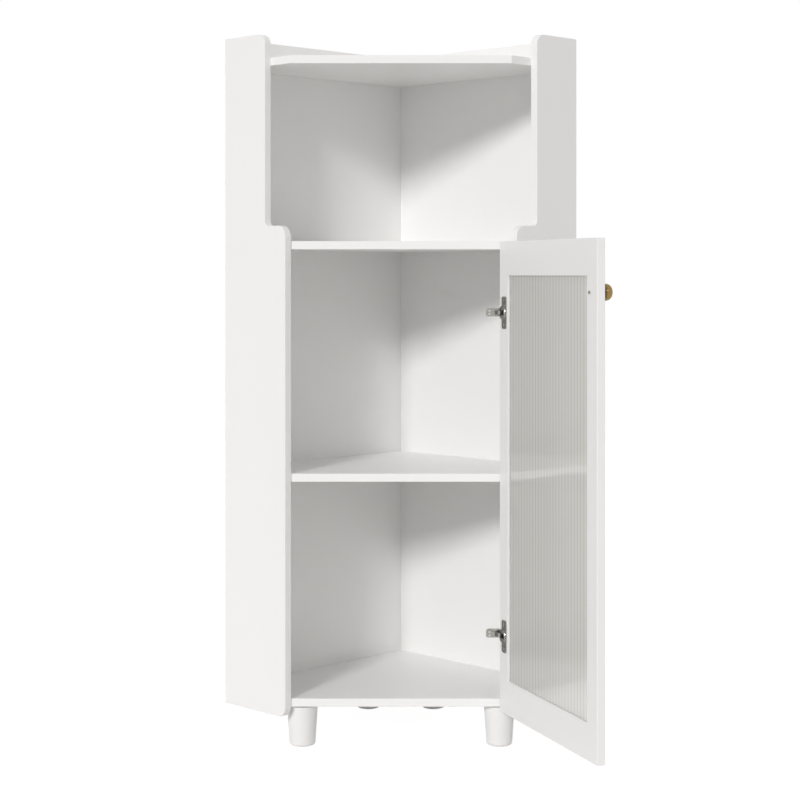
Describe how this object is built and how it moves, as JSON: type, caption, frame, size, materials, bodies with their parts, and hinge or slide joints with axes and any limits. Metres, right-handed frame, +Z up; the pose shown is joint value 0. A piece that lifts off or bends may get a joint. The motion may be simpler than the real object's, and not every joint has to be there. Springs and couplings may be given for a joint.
{
  "type": "corner bathroom cabinet",
  "caption": "Freestanding corner cabinet with a tray top, an open niche and a cupboard behind a hinged door of fluted glass, standing on round tapered feet.",
  "frame": {"origin": "bottom centre of the box that the cabinet fills with its door open, on the floor", "axes": "+X to the right seen from the front, +Y from the door towards the room corner, +Z up"},
  "size_m": [0.6786, 0.8128, 1.3125],
  "materials": {
    "painted_board": "white satin paint",
    "painted_bead": "white satin paint",
    "painted_foot": "white satin paint",
    "fluted_glass": "clear, fluted",
    "knob_brass": "satin",
    "hinge_nickel": "nickel plated",
    "bright_steel": "bright",
    "zinc_steel": "zinc plated",
    "cast_zinc": "die cast",
    "beech": "bare"
  },
  "bodies": {
    "cabinet": {"upper_hinge_arm": "hinge_nickel", "upper_hinge_leaf": "hinge_nickel", "upper_hinge_plate": "hinge_nickel", "lower_hinge_arm": "hinge_nickel", "lower_hinge_leaf": "hinge_nickel", "lower_hinge_plate": "hinge_nickel", "right_side_panel": "painted_board", "left_side_panel": "painted_board", "left_back_panel": "painted_board", "right_back_panel": "painted_board", "bottom_panel": "painted_board", "inner_shelf": "painted_board", "counter_shelf": "painted_board", "top_shelf": "painted_board", "front_left_foot": "painted_foot", "rear_left_foot": "painted_foot", "front_right_foot": "painted_foot", "rear_right_foot": "painted_foot", "foot_plates": "zinc_steel", "foot_studs": "zinc_steel", "foot_plate_screws": "zinc_steel", "dowels": "beech", "cam_bolts": "zinc_steel", "cam_discs": "cast_zinc", "back_panel_screws": "zinc_steel", "hinge_plate_screws": "bright_steel", "hinge_arm_screws": "bright_steel", "hinge_rivets": "bright_steel"},
    "door": {"upper_hinge_cup": "hinge_nickel", "upper_hinge_pin": "bright_steel", "lower_hinge_cup": "hinge_nickel", "lower_hinge_pin": "bright_steel", "knob": "knob_brass", "knob_screw": "hinge_nickel", "door_frame": "painted_board", "fluted_glass": "fluted_glass", "bottom_bead": "painted_bead", "hinge_side_bead": "painted_bead", "top_bead": "painted_bead", "knob_side_bead": "painted_bead", "hinge_cup_screws": "hinge_nickel"}
  },
  "joints": [
    {"name": "door_swing", "type": "hinge", "parent": "cabinet", "child": "door", "pos_m": [0.18151, -0.04292, 0.49945], "axis": [0, 0, 1], "range_deg": [-110.45, 0]}
  ]
}
